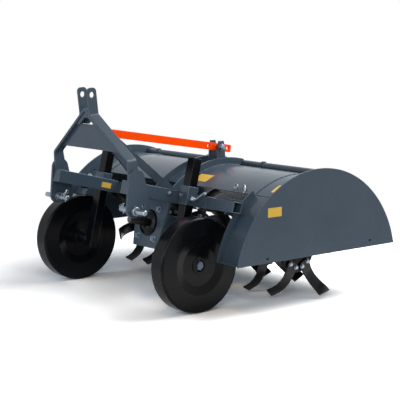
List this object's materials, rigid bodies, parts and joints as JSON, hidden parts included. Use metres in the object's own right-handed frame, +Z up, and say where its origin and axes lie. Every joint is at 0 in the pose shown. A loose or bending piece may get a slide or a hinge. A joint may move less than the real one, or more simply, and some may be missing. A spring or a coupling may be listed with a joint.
{
  "type": "rotary tiller",
  "caption": "Tractor-mounted rotary tiller with hitch mast, steel depth wheels, central drive, bladed rotor and curved hood.",
  "frame": {"origin": "on the floor, under the middle of the machine's box", "axes": "+X across the machine towards its right end in the picture (the implement's left when seen from the tractor seat), -Y forward to the tractor, +Z up"},
  "size_m": [1.376, 1.1942, 0.9245],
  "materials": {
    "blue_grey_paint": "gloss",
    "black_paint": "gloss",
    "tine_steel": "semi-gloss",
    "orange_paint": "gloss",
    "zinc": "satin",
    "bare_steel": "oiled",
    "label_yellow": "satin"
  },
  "bodies": {
    "frame": {"beam_ends": "blue_grey_paint", "brace_bar": "orange_paint", "brace_lugs": "blue_grey_paint", "brace_pins": "zinc", "centre_hood": "blue_grey_paint", "centre_ribs": "blue_grey_paint", "gearbox": "blue_grey_paint", "gearbox_plate": "blue_grey_paint", "left_arm": "blue_grey_paint", "left_end_band": "blue_grey_paint", "left_end_plate": "blue_grey_paint", "left_end_rib": "blue_grey_paint", "left_hitch_plate": "blue_grey_paint", "left_hood": "blue_grey_paint", "left_leg": "blue_grey_paint", "left_lower_pin": "zinc", "left_sleeve": "blue_grey_paint", "left_stay": "blue_grey_paint", "main_beam": "blue_grey_paint", "mast_bridge": "blue_grey_paint", "mast_cheeks": "blue_grey_paint", "mast_plate": "blue_grey_paint", "rear_tube": "blue_grey_paint", "right_arm": "blue_grey_paint", "right_end_band": "blue_grey_paint", "right_end_plate": "blue_grey_paint", "right_end_rib": "blue_grey_paint", "right_hitch_plate": "blue_grey_paint", "right_hood": "blue_grey_paint", "right_leg": "blue_grey_paint", "right_lower_pin": "zinc", "right_sleeve": "blue_grey_paint", "right_stay": "blue_grey_paint", "rotor_case": "blue_grey_paint", "shaft_guard": "black_paint"},
    "left_wheel_leg": {"left_post": "black_paint", "left_axle": "zinc"},
    "left_ground_wheel": {"left_wheel": "black_paint"},
    "right_wheel_leg": {"right_post": "black_paint", "right_axle": "zinc"},
    "right_ground_wheel": {"right_wheel": "black_paint"},
    "rotor": {"rotor_shaft": "black_paint", "rotor_flanges": "black_paint", "tines_1": "tine_steel", "tines_2": "tine_steel", "tines_3": "tine_steel", "tines_4": "tine_steel", "tines_5": "tine_steel", "tines_6": "tine_steel"},
    "drive_shaft": {"pto_shaft": "bare_steel"},
    "rear_board": {"rear_board": "blue_grey_paint"}
  },
  "joints": [
    {"name": "left_leg_slide", "type": "slide", "parent": "frame", "child": "left_wheel_leg", "axis": [0, 0.2419, 0.9703], "range_m": [-0.1, 0.018]},
    {"name": "left_wheel_spin", "type": "hinge", "parent": "left_wheel_leg", "child": "left_ground_wheel", "pos_m": [-0.446, -0.35, 0.2], "axis": [1, 0, 0], "continuous": true},
    {"name": "right_leg_slide", "type": "slide", "parent": "frame", "child": "right_wheel_leg", "axis": [0, 0.2419, 0.9703], "range_m": [-0.1, 0.018]},
    {"name": "right_wheel_spin", "type": "hinge", "parent": "right_wheel_leg", "child": "right_ground_wheel", "pos_m": [0.446, -0.35, 0.2], "axis": [1, 0, 0], "continuous": true},
    {"name": "rotor_spin", "type": "hinge", "parent": "frame", "child": "rotor", "pos_m": [0, 0.137, 0.213], "axis": [1, 0, 0], "continuous": true},
    {"name": "drive_shaft_spin", "type": "hinge", "parent": "frame", "child": "drive_shaft", "pos_m": [0, -0.31845, 0.32655], "axis": [0, 0.9703, -0.2419], "continuous": true},
    {"name": "rear_board_hinge", "type": "hinge", "parent": "frame", "child": "rear_board", "pos_m": [0, 0.25, 0.5444], "axis": [1, 0, 0], "range_deg": [0, 50]}
  ],
  "couplings": [
    {"joint": "drive_shaft_spin", "follows": "rotor_spin", "ratio": 2.6}
  ]
}
